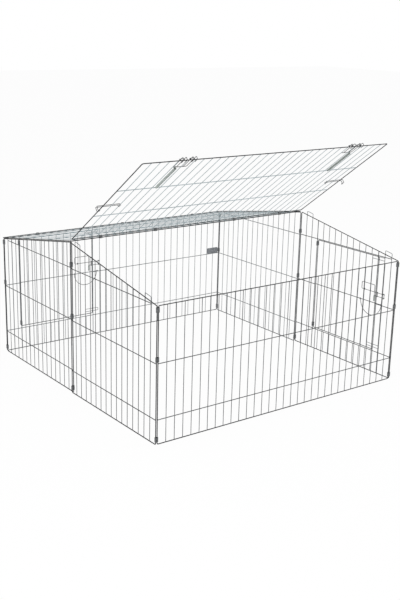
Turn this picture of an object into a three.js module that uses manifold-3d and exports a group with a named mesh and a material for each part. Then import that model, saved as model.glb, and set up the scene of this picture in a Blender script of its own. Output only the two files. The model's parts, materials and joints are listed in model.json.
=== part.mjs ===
// Outdoor rabbit run: a square, floorless enclosure of welded wire panels with a low gable roof.
// The front half of the roof is a lid, drawn standing open. Millimetres, +Z up, +X to the right
// along the front, +Y to the back. The origin is the middle of the footprint, on the ground.
import * as THREE from "three";
import { mergeVertices } from "three/addons/utils/BufferGeometryUtils.js";
import Module from "manifold-3d";

const wasm = await Module();
wasm.setup();

// Wire mesh
const PITCH = 36; // spacing of the upright wires
const WALL_BAYS = 32; // gaps between uprights across the front
const GABLE_BAYS = 16; // gaps between uprights in one gable panel
const WIRE = 2.4; // upright wires and small fittings
const RAIL = 3.2; // cross wires
const POST = 4.2; // wire at the edges of a panel
const MESH = 3.2; // thickness of a panel
const BEND = 6; // outside radius where a frame wire turns a corner
const GAP = 0.3; // clearance between pieces that rest on each other
const TURN_GAP = 0.1; // least clearance left while one wire turns past another
const WELD = 0.4; // depth to which a welded wire sinks into the next one

// Heights of the cross wires' centres
const LOW_RAIL = 92;
const MIDDLE_RAIL = 296;
const EAVE = 500;
const RIDGE = 600;
const EAVE_ROOM = 5; // the gable's eave wire ends where the slope comes nearer to it than this
const LID_RAILS = 3; // the roof and the lid have three rows of openings between cross wires

// Hinge clips: bands of sheet that hold two neighbouring wires
const HINGE_STEP = 6; // distance between the two wires of a hinge
const CLIP_PLAY = 0.25; // between the band and a wire that turns in it
const CLIP_WALL = 1.5;
const CLIP_CHAMFER = 1.6;
const CLIP_HEIGHT = 18;
const CLIP_MARGIN = 4; // from a cross wire to the nearest clip
const FOOT_CLIP = 20; // height of the lowest clips
const EAVE_CLIP_BAYS = [4, 16, 27];
const RIDGE_CLIP_BAYS = [3, 10, 21, 28];

// Roof and lid
const OVERHANG = 5.4; // how far the roof's rear wire lies behind the back panel
const LID_ANGLE = 36; // the lid's rise above level as it stands open, in degrees

// Doors
const SIDE_DOOR_BAY = 3; // uprights from the ridge post to the side door's hinge
const BACK_DOOR_BAY = 2; // uprights from the left corner to the back door's hinge
const DOOR_BAYS = 10;
const SIDE_DOOR_RISE = 4; // from the low rail up to the door's lower edge wire
const SIDE_DOOR_DROP = 6; // from the eave wire down to the door's upper edge wire
const BACK_DOOR_RISE = 8;
const BACK_DOOR_DROP = 12; // leaves room for the eave clips as they turn
const JAMB = 3.2; // uprights beside a door
const CATCH_REACH = 30; // wire loops that stand past the door's free edge
const CATCH_GAP = 12;
const CATCH_RISE = 10; // from the door's lower edge wire up to its catch

// Door bolt: a sliding wire with two prongs and a finger loop
const BOLT_RISE = 30; // from the middle rail up to the lower prong
const PRONG_GAP = 15;
const PRONG_REACH = 42; // past the door's free edge
const LOOP_SETBACK = 15;
const LOOP_LENGTH = 72;
const LOOP_HEIGHT = 30;
const GRIP_WIDTH = 6;
const GRIP_LENGTH = 24;
const GUIDE_PLAY = 0.4; // play of a wire in its guide
const GUIDE_BAYS = 2; // from the free edge back to the finger loop's guide

// Bail handle below the bolt
const BAIL_BAYS = 2; // whole gaps between its inner eye's gap and the free edge
const BAIL_REACH = 26; // its outer eye stands past the free edge
const EYE_BORE = 2.6;
const EYE_WALL = 1.4;
const RAIL_END = 6; // rail left past the outer eye

// Lid latches
const LATCH_BAY = 4; // uprights from the lid's side edge to the latch
const LATCH_BAYS = 2; // gaps between uprights that the latch spans
const TINE_INSET = 8; // from an upright to the nearest tine
const TINE_GAP = 14;
const TINE_LENGTH = 52; // from the cross bar to the lid's free edge
const TINE_REACH = 18; // past the free edge
const HOOK_DROP = 11;
const HOOK_RETURN = 18;
const COIL_RADIUS = 3.9;
const COIL_WIRE = 1.8;
const COIL_TURNS = 13;
const COIL_STEPS = 8; // steps in a turn
const COIL_SIDES = 5;

// Side hooks of the lid
const SIDE_HOOK_BAYS = 2; // uprights from the lid's side edge to the hook's pivot
const SIDE_HOOK_PLACE = 270; // from the ridge along the lid
const SIDE_HOOK_WIDTH = 10;
const SIDE_HOOK_REACH = 22; // past the lid's side edge
const SIDE_HOOK_DROP = 16;
const SIDE_HOOK_RETURN = 8;

// Loops that stand on the front gables beside the lid, between the uprights of these numbers
const HOOP_SPANS = [
  [1, 2],
  [14, 15],
];
const HOOP_RISE = 16;

// Bare plate on the inside of the back panel
const PLATE_BAYS = 2;
const PLATE_HEIGHT = 28;
const PLATE_THICKNESS = 1.2;
const PLATE_RISE = 2; // above the middle rail
const PLATE_MARGIN = 3; // to the corner's hinge clips

// Sizes that follow
const WALL_LENGTH = PITCH * WALL_BAYS;
const GABLE_LENGTH = PITCH * GABLE_BAYS;
const FOOT = RAIL / 2;
// Half the inside height of a clip in which square wires of this width can turn.
const clipBore = (width) => Math.hypot(width, MESH) / 2 + CLIP_PLAY;
const CLIP_OUTER = clipBore(POST) + CLIP_WALL;
const ON_WIRE = MESH / 2 + GAP + WIRE / 2; // height of a fitting's centre over the mesh it lies on
const BOLT_OUT = HINGE_STEP + ON_WIRE;
const GUIDE_OUT = BOLT_OUT + WIRE / 2 + GUIDE_PLAY; // inner face of a guide's bar
const HARDWARE_OUT = GUIDE_OUT + WIRE;
const WALL_RUN = HINGE_STEP + 2 * GABLE_LENGTH; // from the front panel to the back panel
const BACK_Y = (WALL_RUN + CLIP_OUTER - HARDWARE_OUT) / 2; // centres the outline on the origin
const RIDGE_Y = BACK_Y - HINGE_STEP - GABLE_LENGTH;
const FRONT_Y = RIDGE_Y - GABLE_LENGTH;
const FOLD_X = WALL_LENGTH / 2;
const ROOF_SLOPE = (RIDGE - EAVE) / (HINGE_STEP + GABLE_LENGTH);
const ROOF_TILT = Math.cos(Math.atan(ROOF_SLOPE));
// Height of the roof's centre over the line through the eave and ridge wires of the walls: the roof
// clears the corners of the square eave wire as it tips up round it.
const ROOF_SEAT = (MESH / 2 + Math.hypot(RAIL, MESH) / 2 + TURN_GAP) / ROOF_TILT;
const EYE_OUT = EYE_BORE + WIRE / 2; // height of a wire that ends in an eye over the eye's middle
const LATCH_SPAN = LATCH_BAYS * PITCH;

// Finishes
const GALVANISED = { color: 0xb4b9bc, roughness: 0.4, metalness: 0.85 };
const DULL_ZINC = { color: 0x7e8386, roughness: 0.5, metalness: 0.8 };
const SPRING_STEEL = { color: 0xa3abb0, roughness: 0.35, metalness: 0.9 };
const SHEET_ZINC = { color: 0x9ea4a8, roughness: 0.45, metalness: 0.8 };

const run = new THREE.Group();

function place(parent, name, geometry, finish) {
  const mesh = new THREE.Mesh(geometry, new THREE.MeshStandardMaterial(finish));
  mesh.name = name;
  parent.add(mesh);
  return mesh;
}

function solidOf(geometry) {
  const bare = geometry.clone();
  bare.deleteAttribute("normal");
  bare.deleteAttribute("uv");
  const merged = mergeVertices(bare, 1e-4);
  return new wasm.Manifold(
    new wasm.Mesh({
      numProp: 3,
      vertProperties: merged.attributes.position.array,
      triVerts: new Uint32Array(merged.index.array),
    }),
  );
}

function geometryOf(solid) {
  const mesh = solid.getMesh();
  const count = mesh.vertProperties.length / mesh.numProp;
  const points = new Float32Array(count * 3);
  for (let i = 0; i < count; i++) {
    const from = i * mesh.numProp;
    points.set(mesh.vertProperties.subarray(from, from + 3), i * 3);
  }
  return new THREE.BufferGeometry()
    .setAttribute("position", new THREE.BufferAttribute(points, 3))
    .setIndex(new THREE.BufferAttribute(new Uint32Array(mesh.triVerts), 1));
}

// Welds pieces that overlap into one body.
function weld(geometries) {
  return geometryOf(geometries.map(solidOf).reduce((all, next) => all.add(next)));
}

// A closed outline whose corners are turned at BEND, as a frame wire is.
function frameOutline(points) {
  const shape = new THREE.Shape();
  points.forEach((corner, i) => {
    const here = new THREE.Vector2(...corner);
    const before = new THREE.Vector2(...points.at(i - 1)).sub(here).setLength(BEND).add(here);
    const after = new THREE.Vector2(...points[(i + 1) % points.length])
      .sub(here)
      .setLength(BEND)
      .add(here);
    if (i === 0) shape.moveTo(before.x, before.y);
    else shape.lineTo(before.x, before.y);
    shape.quadraticCurveTo(here.x, here.y, after.x, after.y);
  });
  shape.closePath();
  return shape;
}

function extrude(shape, depth, curveSegments = 2) {
  const geometry = new THREE.ExtrudeGeometry(shape, {
    depth,
    bevelEnabled: false,
    curveSegments,
  });
  return geometry.translate(0, 0, -depth / 2);
}

// Cuts openings, each a list of corners in XY, through a flat plate.
function pierce(plate, openings) {
  const cutter = (corners) => {
    const shape = new THREE.Shape(corners.map(([x, y]) => new THREE.Vector2(x, y)));
    return solidOf(extrude(shape, 2 * MESH));
  };
  return geometryOf(openings.map(cutter).reduce((rest, next) => rest.subtract(next), solidOf(plate)));
}

// Turns a geometry drawn in XY so that its Y points up, as in a wall.
function stand(geometry) {
  return geometry.rotateX(Math.PI / 2);
}

// A straight wire of square section between two points of a panel's plane.
function bar([x0, y0], [x1, y1], width = WIRE, thickness = MESH) {
  const length = Math.hypot(x1 - x0, y1 - y0) + width;
  return new THREE.BoxGeometry(length, width, thickness)
    .rotateZ(Math.atan2(y1 - y0, x1 - x0))
    .translate((x0 + x1) / 2, (y0 + y1) / 2, 0);
}

// A wire guide: two legs and a bar, in XY, standing on Y = 0 over a gap `inside` wide.
function guide(inside, clear) {
  const shape = new THREE.Shape();
  const outer = inside / 2 + WIRE;
  shape.moveTo(-outer, 0);
  shape.lineTo(-inside / 2, 0);
  shape.lineTo(-inside / 2, clear);
  shape.lineTo(inside / 2, clear);
  shape.lineTo(inside / 2, 0);
  shape.lineTo(outer, 0);
  shape.lineTo(outer, clear + WIRE);
  shape.lineTo(-outer, clear + WIRE);
  shape.closePath();
  return extrude(shape, WIRE);
}

// A band of sheet round two wires of this width that lie `step` apart along X, centred between them.
function hingeClip(step, width) {
  const bore = clipBore(width);
  const outer = bore + CLIP_WALL;
  const long = step / 2 + outer;
  const cut = outer - CLIP_CHAMFER;
  const shape = new THREE.Shape();
  shape.moveTo(-long, -cut);
  shape.lineTo(CLIP_CHAMFER - long, -outer);
  shape.lineTo(long - CLIP_CHAMFER, -outer);
  shape.lineTo(long, -cut);
  shape.lineTo(long, cut);
  shape.lineTo(long - CLIP_CHAMFER, outer);
  shape.lineTo(CLIP_CHAMFER - long, outer);
  shape.lineTo(-long, cut);
  shape.closePath();
  const inside = step / 2 + bore;
  const hole = new THREE.Path();
  hole.moveTo(-inside, -bore);
  hole.lineTo(inside, -bore);
  hole.lineTo(inside, bore);
  hole.lineTo(-inside, bore);
  hole.closePath();
  shape.holes.push(hole);
  return extrude(shape, CLIP_HEIGHT);
}

// Welded mesh in XY. columns are {at, width}, rows are {at, width, from, to}, where from and to are
// the first and last column that the row joins. top(x) is the height of the uppermost wire's centre,
// which may slope, and door names the columns and rows that a doorway leaves out.
function weldedMesh({ columns, rows, top, door }) {
  const leftEdge = (column) => column.at - column.width / 2;
  const rightEdge = (column) => column.at + column.width / 2;
  const left = leftEdge(columns[0]);
  const right = rightEdge(columns.at(-1));
  const tilt = Math.cos(Math.atan2(top(right) - top(left), right - left));
  const half = RAIL / 2 / tilt;
  const under = rows[0].at - rows[0].width / 2;
  const frame = frameOutline([
    [left, under],
    [right, under],
    [right, top(right) + half],
    [left, top(left) + half],
  ]);
  const opening = (a, b, low, high) => {
    const x0 = rightEdge(columns[a]);
    const x1 = leftEdge(columns[b]);
    return [[x0, low], [x1, low], [x1, high(x1)], [x0, high(x0)]];
  };
  const inDoor = (c, row) =>
    door && c >= door.from && c < door.to && row.at >= door.low && row.at < door.high;
  const openings = columns.slice(1).flatMap((_, c) => {
    const present = rows.filter((row) => c >= (row.from ?? 0) && c < (row.to ?? Infinity));
    const cells = present.map((row, r) => {
      const next = present[r + 1];
      const high = next ? () => next.at - next.width / 2 : (x) => top(x) - half;
      return { row, corners: opening(c, c + 1, row.at + row.width / 2, high) };
    });
    return cells.filter((cell) => !inDoor(c, cell.row)).map((cell) => cell.corners);
  });
  if (door) {
    const high = door.high - RAIL / 2;
    openings.push(opening(door.from, door.to, door.low + RAIL / 2, () => high));
  }
  return pierce(extrude(frame, MESH), openings);
}

// Uprights at PITCH, the first and last as wide as a post, those beside a door as wide as a jamb.
function uprights(bays, edge = POST, jambs = []) {
  return Array.from({ length: bays + 1 }, (_, i) => {
    const atEdge = i === 0 || i === bays;
    return { at: i * PITCH, width: atEdge ? edge : jambs.includes(i) ? JAMB : WIRE };
  });
}

function rails(heights) {
  return heights.map((at) => ({ at, width: RAIL }));
}

const doorway = (bay) => ({ from: bay, to: bay + DOOR_BAYS, low: LOW_RAIL, high: EAVE });

function wallMesh(doorBay) {
  const door = doorBay === undefined ? undefined : doorway(doorBay);
  return weldedMesh({
    columns: uprights(WALL_BAYS, POST, door ? [door.from, door.to] : []),
    rows: rails([FOOT, LOW_RAIL, MIDDLE_RAIL]),
    top: () => EAVE,
    door,
  });
}

// A gable rises from `start` at its rear post to `end` at its front post.
function gableMesh(start, end, doorBay) {
  const door = doorBay === undefined ? undefined : doorway(doorBay);
  const slope = (x) => start + ((end - start) * x) / GABLE_LENGTH;
  const columns = uprights(GABLE_BAYS, POST, door ? [door.from, door.to] : []);
  const open = columns.map((c) => slope(c.at) - EAVE > EAVE_ROOM);
  const eaveWire = { at: EAVE, width: RAIL, from: open.indexOf(true), to: open.lastIndexOf(true) };
  return weldedMesh({
    columns,
    rows: [...rails([FOOT, LOW_RAIL, MIDDLE_RAIL]), eaveWire],
    top: slope,
    door,
  });
}

function hoops(start, end) {
  const slope = (x) => start + ((end - start) * x) / GABLE_LENGTH;
  return HOOP_SPANS.flatMap(([a, b]) => {
    const [x0, x1] = [a * PITCH, b * PITCH];
    const foot = (x) => [x, slope(x)];
    const crown = (x) => [x, slope(x) + HOOP_RISE];
    return [bar(foot(x0), crown(x0)), bar(crown(x0), crown(x1)), bar(crown(x1), foot(x1))];
  });
}

// A flat ring in XY.
function ring(bore, wall, depth) {
  const shape = new THREE.Shape();
  shape.absarc(0, 0, bore + wall, 0, 2 * Math.PI);
  const hole = new THREE.Path();
  hole.absarc(0, 0, bore, 0, 2 * Math.PI);
  shape.holes.push(hole);
  return extrude(shape, depth, 4);
}

// Walls. In a wall's group X runs along the panel from its first post and Z is up.
function wallGroup(x, y, turn) {
  const group = new THREE.Group();
  group.position.set(x, y, 0);
  group.rotation.z = turn;
  run.add(group);
  return group;
}

// Three clips on the two posts of a corner: the first post is at (x, y), and the other lies a step
// away in the direction given.
function hingeRow(corner, x, y, direction, high) {
  const middle = MIDDLE_RAIL + RAIL / 2 + CLIP_MARGIN + CLIP_HEIGHT / 2;
  for (const [level, z] of Object.entries({ low: FOOT_CLIP, middle, high })) {
    const clip = hingeClip(HINGE_STEP, POST).translate(HINGE_STEP / 2, 0, 0);
    const mesh = place(run, `hinge_clip_${corner}_${level}`, clip, DULL_ZINC);
    mesh.position.set(x, y, z);
    mesh.rotation.z = direction;
  }
}

// Door fittings, in the frame of the door's wall. `free` is the door's upright farthest from its
// hinge, and +Y faces out of the run.
function boltWire(free) {
  const low = MIDDLE_RAIL + BOLT_RISE;
  const high = low + PRONG_GAP;
  const crown = high + LOOP_HEIGHT;
  const near = free - LOOP_SETBACK;
  const far = near - LOOP_LENGTH;
  const tip = free + PRONG_REACH;
  const wire = (a, b) => bar(a, b, WIRE, WIRE);
  const wires = [
    wire([far, high], [tip, high]),
    wire([near, low], [tip, low]),
    wire([far, high], [far, crown]),
    wire([far, crown], [near, crown]),
    wire([near, low], [near, crown]),
    bar([near, low], [near, low - GRIP_LENGTH], GRIP_WIDTH, WIRE),
  ];
  return stand(weld(wires));
}

// A guide that stands out of a wall's upright at (x, z) and spans `inside` of its height.
function uprightGuide(x, z, inside, reach) {
  const foot = MESH / 2 - WELD;
  return guide(inside, reach - foot)
    .rotateY(-Math.PI / 2)
    .translate(x, foot, z);
}

function bailWire(free) {
  const inner = free - (BAIL_BAYS + 0.5) * PITCH;
  const outer = free + BAIL_REACH;
  const radius = (outer - inner) / 2;
  const shape = new THREE.Shape();
  shape.absarc(0, 0, radius + WIRE / 2, Math.PI, 2 * Math.PI);
  shape.absarc(0, 0, radius - WIRE / 2, 2 * Math.PI, Math.PI, true);
  shape.closePath();
  const arc = stand(extrude(shape, WIRE, 5)).translate((inner + outer) / 2, EYE_OUT, 0);
  const eyes = [inner, outer].map((x) =>
    ring(EYE_BORE, EYE_WALL, WIRE).rotateY(Math.PI / 2).translate(x, 0, 0),
  );
  return weld([arc, ...eyes]);
}

// A wire loop that stands past the door's free edge, from the height `low` up.
function catchWires(free, low) {
  const root = free - PITCH;
  const tip = free + CATCH_REACH;
  const high = low + CATCH_GAP;
  return [
    bar([root, low], [tip, low]),
    bar([root, high], [tip, high]),
    bar([tip, low], [tip, high]),
  ];
}

function doorLeaf(hinge, free, under, crown) {
  const columns = uprights(DOOR_BAYS, JAMB).map((c) => ({ ...c, at: c.at + hinge }));
  const leaf = weldedMesh({ columns, rows: rails([under, MIDDLE_RAIL]), top: () => crown });
  const flat = [
    leaf,
    ...catchWires(free, under + CATCH_RISE),
    ...catchWires(free, crown - CATCH_GAP),
    bar([free, MIDDLE_RAIL], [free + BAIL_REACH + RAIL_END, MIDDLE_RAIL], RAIL),
  ];
  const prongs = MIDDLE_RAIL + BOLT_RISE + PRONG_GAP / 2;
  const upper = MIDDLE_RAIL + BOLT_RISE + PRONG_GAP;
  const reach = GUIDE_OUT - HINGE_STEP;
  return weld([
    ...flat.map(stand),
    uprightGuide(free, prongs, PRONG_GAP + WIRE + 2 * GUIDE_PLAY, reach),
    uprightGuide(free - GUIDE_BAYS * PITCH, upper, WIRE + 2 * GUIDE_PLAY, reach),
  ]);
}

// The fitting on the wall that takes the bolt's prongs.
function keeper(free) {
  const prongs = MIDDLE_RAIL + BOLT_RISE + PRONG_GAP / 2;
  return uprightGuide(free + PITCH, prongs, PRONG_GAP + WIRE + 2 * GUIDE_PLAY, GUIDE_OUT);
}

function addDoor(wall, name, bay, rise, drop) {
  const hinge = bay * PITCH;
  const free = hinge + DOOR_BAYS * PITCH;
  const under = LOW_RAIL + rise;
  const crown = EAVE - drop;
  const door = new THREE.Group();
  door.position.y = HINGE_STEP;
  wall.add(door);
  place(door, name, doorLeaf(hinge, free, under, crown), GALVANISED);
  place(door, `${name}_bolt`, boltWire(free), SPRING_STEEL).position.y = ON_WIRE;
  place(door, `${name}_bail`, bailWire(free), GALVANISED).position.z = MIDDLE_RAIL;
  const clearOf = RAIL / 2 + CLIP_MARGIN + CLIP_HEIGHT / 2;
  const heights = { low: under + clearOf, high: crown - clearOf };
  for (const [level, z] of Object.entries(heights)) {
    const clip = hingeClip(HINGE_STEP, JAMB).rotateZ(Math.PI / 2);
    place(wall, `${name}_hinge_${level}`, clip, DULL_ZINC).position.set(hinge, HINGE_STEP / 2, z);
  }
}

function addWalls() {
  const back = wallGroup(-FOLD_X, BACK_Y, 0);
  const backFree = (BACK_DOOR_BAY + DOOR_BAYS) * PITCH;
  const backMesh = weld([stand(wallMesh(BACK_DOOR_BAY)), keeper(backFree)]);
  place(back, "back_panel", backMesh, GALVANISED);
  addDoor(back, "back_door", BACK_DOOR_BAY, BACK_DOOR_RISE, BACK_DOOR_DROP);
  addPlate(back);
  const front = wallGroup(-FOLD_X, FRONT_Y, 0);
  place(front, "front_panel", stand(wallMesh()), GALVANISED);
  for (const [side, sign] of Object.entries({ left: -1, right: 1 })) addSide(side, sign);
}

// The two hinged gables of a side. The front one is offset outwards by the hinge, so that the side
// folds inwards at the ridge.
function addSide(side, sign) {
  const rearX = sign * FOLD_X;
  const frontX = sign * (FOLD_X + HINGE_STEP);
  const rear = wallGroup(rearX, BACK_Y - HINGE_STEP, -Math.PI / 2);
  const front = wallGroup(frontX, RIDGE_Y, -Math.PI / 2);
  const rearFoot = EAVE + ROOF_SLOPE * HINGE_STEP;
  place(rear, `${side}_rear_gable`, stand(gableMesh(rearFoot, RIDGE)), GALVANISED);
  const hasDoor = side === "right";
  const free = (SIDE_DOOR_BAY + DOOR_BAYS) * PITCH;
  const pieces = [gableMesh(RIDGE, EAVE, hasDoor ? SIDE_DOOR_BAY : undefined), ...hoops(RIDGE, EAVE)];
  const upright = pieces.map(stand);
  if (hasDoor) upright.push(keeper(free));
  place(front, `${side}_front_gable`, weld(upright), GALVANISED);
  if (hasDoor) addDoor(front, "side_door", SIDE_DOOR_BAY, SIDE_DOOR_RISE, SIDE_DOOR_DROP);
  const cornerHigh = EAVE - RAIL / 2 - CLIP_MARGIN - CLIP_HEIGHT / 2;
  const ridgeHigh = EAVE + RAIL / 2 + CLIP_MARGIN + CLIP_HEIGHT / 2;
  const outward = sign > 0 ? 0 : Math.PI;
  hingeRow(`rear_${side}`, rearX, BACK_Y, -Math.PI / 2, cornerHigh);
  hingeRow(`ridge_${side}`, rearX, RIDGE_Y, outward, ridgeHigh);
  hingeRow(`front_${side}`, frontX, FRONT_Y, Math.PI - outward, cornerHigh);
}

// A bare sheet-metal plate across the last uprights, inside the back panel.
function addPlate(wall) {
  const left = WALL_LENGTH - PLATE_BAYS * PITCH;
  const right = WALL_LENGTH - CLIP_OUTER - PLATE_MARGIN;
  const low = MIDDLE_RAIL + PLATE_RISE;
  const high = low + PLATE_HEIGHT;
  const outline = frameOutline([
    [left, low],
    [right, low],
    [right, high],
    [left, high],
  ]);
  const plate = place(wall, "blank_plate", stand(extrude(outline, PLATE_THICKNESS)), SHEET_ZINC);
  plate.position.y = -(MESH + PLATE_THICKNESS) / 2 - GAP;
}

// Roof and lid. In their groups X runs across, Y up the slope from the hinge wire, Z out of the
// panel's upper face.
function slopeGroup(y, z, angle) {
  const group = new THREE.Group();
  group.position.set(0, y, z);
  group.rotation.set(-angle, 0, Math.PI);
  run.add(group);
  return group;
}

function roofMesh(length) {
  const columns = uprights(WALL_BAYS).map((c) => ({ ...c, at: c.at - WALL_LENGTH / 2 }));
  const heights = Array.from({ length: LID_RAILS }, (_, i) => (length * i) / LID_RAILS);
  return weldedMesh({ columns, rows: rails(heights), top: () => length });
}

// Clips that hold two wires which run along X.
function clipsAcross(name, bays, first, second) {
  const dy = second.y - first.y;
  const dz = second.z - first.z;
  bays.forEach((bay, i) => {
    const clip = hingeClip(Math.hypot(dy, dz), RAIL).rotateY(Math.PI / 2);
    const mesh = place(run, `${name}_${i + 1}`, clip, DULL_ZINC);
    const x = (bay + 0.5) * PITCH - FOLD_X;
    mesh.position.set(x, (first.y + second.y) / 2, (first.z + second.z) / 2);
    mesh.rotation.x = -Math.atan2(dy, dz);
  });
}

// A hook or latch wire seen from the side, drawn in XY, turned so that its X lies up the slope.
function alongSlope(geometry) {
  return geometry.rotateX(Math.PI / 2).rotateZ(Math.PI / 2);
}

// The four hooked tines of a latch start at these distances from the upright LATCH_BAY.
const TINES = [
  TINE_INSET,
  TINE_INSET + TINE_GAP,
  LATCH_SPAN - TINE_INSET - TINE_GAP,
  LATCH_SPAN - TINE_INSET,
];

// Across the lid from its middle: the place `inwards` of the latch's upright.
const latchX = (sign, inwards) => sign * (FOLD_X - LATCH_BAY * PITCH - inwards);

function latchWire(sign, length) {
  const root = length - TINE_LENGTH;
  const tip = length + TINE_REACH;
  const lip = ON_WIRE - HOOK_DROP;
  const wire = (a, b) => bar(a, b, WIRE, WIRE);
  const tines = TINES.map((inwards) => {
    const hook = weld([
      wire([root, ON_WIRE], [tip, ON_WIRE]),
      wire([tip, ON_WIRE], [tip, lip]),
      wire([tip, lip], [tip - HOOK_RETURN, lip]),
    ]);
    return alongSlope(hook).translate(latchX(sign, inwards), 0, 0);
  });
  const [from, to] = [TINES[0], TINES.at(-1)].map((inwards) => latchX(sign, inwards));
  const cross = wire([from, root], [to, root]).translate(0, 0, ON_WIRE);
  return weld([cross, ...tines]);
}

// Guides on the lid's free edge, one over each pair of tines.
function latchGuides(sign, length) {
  const foot = MESH / 2 - WELD;
  const clear = ON_WIRE + WIRE / 2 + GUIDE_PLAY - foot;
  return [0, 2].map((first) => {
    const middle = (TINES[first] + TINES[first + 1]) / 2;
    const inside = TINE_GAP + WIRE + 2 * GUIDE_PLAY;
    return stand(guide(inside, clear)).translate(latchX(sign, middle), length, foot);
  });
}

// The centre line of a latch spring: an open coil along the slope whose ends run straight.
function coilPath(x, start, end) {
  const axis = ON_WIRE - COIL_RADIUS;
  const steps = (COIL_TURNS + 0.25) * COIL_STEPS;
  const lead = COIL_WIRE;
  const climb = (end - start - 2 * lead) / steps;
  const at = (i, y) => {
    const angle = (2 * Math.PI * i) / COIL_STEPS;
    const radial = new THREE.Vector3(Math.cos(angle), 0, Math.sin(angle));
    return { radial, point: new THREE.Vector3(x, y, axis).addScaledVector(radial, COIL_RADIUS) };
  };
  const path = [at(0, start)];
  for (let i = 0; i <= steps; i++) path.push(at(i, start + lead + climb * i));
  path.push(at(steps, end));
  return path;
}

// A tube of COIL_SIDES sides through a coil's path, capped at both ends.
function coilTube(path) {
  const points = [];
  const faces = [];
  path.forEach(({ point, radial }, i) => {
    const before = path[Math.max(i - 1, 0)].point;
    const after = path[Math.min(i + 1, path.length - 1)].point;
    const along = after.clone().sub(before).normalize();
    const side = new THREE.Vector3().crossVectors(along, radial).normalize();
    const up = new THREE.Vector3().crossVectors(side, along);
    for (let k = 0; k < COIL_SIDES; k++) {
      const turn = (2 * Math.PI * k) / COIL_SIDES;
      const spot = point
        .clone()
        .addScaledVector(up, (Math.cos(turn) * COIL_WIRE) / 2)
        .addScaledVector(side, (Math.sin(turn) * COIL_WIRE) / 2);
      points.push(...spot.toArray());
    }
  });
  const corner = (i, k) => i * COIL_SIDES + (k % COIL_SIDES);
  for (let i = 0; i + 1 < path.length; i++) {
    for (let k = 0; k < COIL_SIDES; k++) {
      faces.push(corner(i, k), corner(i, k + 1), corner(i + 1, k + 1));
      faces.push(corner(i, k), corner(i + 1, k + 1), corner(i + 1, k));
    }
  }
  for (let k = 1; k + 1 < COIL_SIDES; k++) {
    faces.push(corner(0, 0), corner(0, k + 1), corner(0, k));
    const last = path.length - 1;
    faces.push(corner(last, 0), corner(last, k), corner(last, k + 1));
  }
  return new THREE.BufferGeometry()
    .setAttribute("position", new THREE.Float32BufferAttribute(points, 3))
    .setIndex(faces);
}

// The least distance between the surfaces of two turns of a coil.
function coilGap(path) {
  let least = Infinity;
  for (let i = 0; i < path.length; i++) {
    for (let k = i + COIL_STEPS / 2; k < path.length; k++) {
      least = Math.min(least, path[i].point.distanceTo(path[k].point));
    }
  }
  return least - COIL_WIRE;
}

function sideHook(sign) {
  const pivot = sign * (FOLD_X - SIDE_HOOK_BAYS * PITCH);
  const end = sign * (FOLD_X + SIDE_HOOK_REACH);
  const back = end - sign * SIDE_HOOK_RETURN;
  const lip = EYE_OUT - SIDE_HOOK_DROP;
  const wire = (a, b) => stand(bar(a, b, WIRE, WIRE));
  const arms = [-1, 1].flatMap((half) => {
    const y = (half * SIDE_HOOK_WIDTH) / 2;
    return [
      wire([pivot, EYE_OUT], [end, EYE_OUT]),
      wire([end, EYE_OUT], [end, lip]),
      wire([end, lip], [back, lip]),
      stand(ring(EYE_BORE, EYE_WALL, WIRE)).translate(pivot, 0, 0),
    ].map((piece) => piece.translate(0, y, 0));
  });
  const half = SIDE_HOOK_WIDTH / 2;
  const closing = bar([back, -half], [back, half], WIRE, WIRE).translate(0, 0, lip);
  return weld([...arms, closing]);
}

function addLid(ridgeZ) {
  const hingeZ = ridgeZ + HINGE_STEP;
  const seatZ = EAVE + RAIL / 2 + GAP + Math.hypot(RAIL, MESH) / 2;
  const length = Math.hypot(GABLE_LENGTH, hingeZ - seatZ);
  const lid = slopeGroup(RIDGE_Y, hingeZ, THREE.MathUtils.degToRad(LID_ANGLE));
  const guides = [1, -1].flatMap((sign) => latchGuides(sign, length));
  place(lid, "lid_panel", weld([roofMesh(length), ...guides]), GALVANISED);
  const springFoot = (length * (LID_RAILS - 1)) / LID_RAILS + RAIL / 2 + GAP;
  const springHead = length - TINE_LENGTH - WIRE / 2 - GAP;
  for (const [side, sign] of Object.entries({ left: 1, right: -1 })) {
    place(lid, `lid_latch_${side}`, latchWire(sign, length), GALVANISED);
    const coil = coilPath(latchX(sign, PITCH / 2), springFoot, springHead);
    place(lid, `lid_spring_${side}`, coilTube(coil), SPRING_STEEL);
    console.log(`lid_spring_${side}: least gap between turns ${coilGap(coil).toFixed(2)} mm`);
    place(lid, `side_hook_${side}`, sideHook(sign), GALVANISED).position.y = SIDE_HOOK_PLACE;
  }
}

function addRoof() {
  const line = (y) => EAVE + ROOF_SEAT + ROOF_SLOPE * (BACK_Y - y);
  const eave = { y: BACK_Y + OVERHANG, z: line(BACK_Y + OVERHANG) };
  const ridge = { y: RIDGE_Y, z: line(RIDGE_Y) };
  const length = Math.hypot(eave.y - ridge.y, ridge.z - eave.z);
  const roof = slopeGroup(eave.y, eave.z, Math.atan(ROOF_SLOPE));
  place(roof, "roof_panel", roofMesh(length), GALVANISED);
  clipsAcross("eave_clip", EAVE_CLIP_BAYS, { y: BACK_Y, z: EAVE }, eave);
  clipsAcross("ridge_clip", RIDGE_CLIP_BAYS, ridge, { y: ridge.y, z: ridge.z + HINGE_STEP });
  addLid(ridge.z);
}

addWalls();
addRoof();

export default run;
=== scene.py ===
# %% [markdown]
# # An outdoor rabbit run, wire by wire
# The run is a square of welded wire panels under a low gable roof. The rear half of the roof lies
# still and the front half is a lid, which stands open. The sizes and the joints come from the
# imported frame, so this lesson only dresses it: each panel is drawn again in round wire, and each
# fitting as the bent wire, coil or folded band that it really is.

import json
import math

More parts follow.
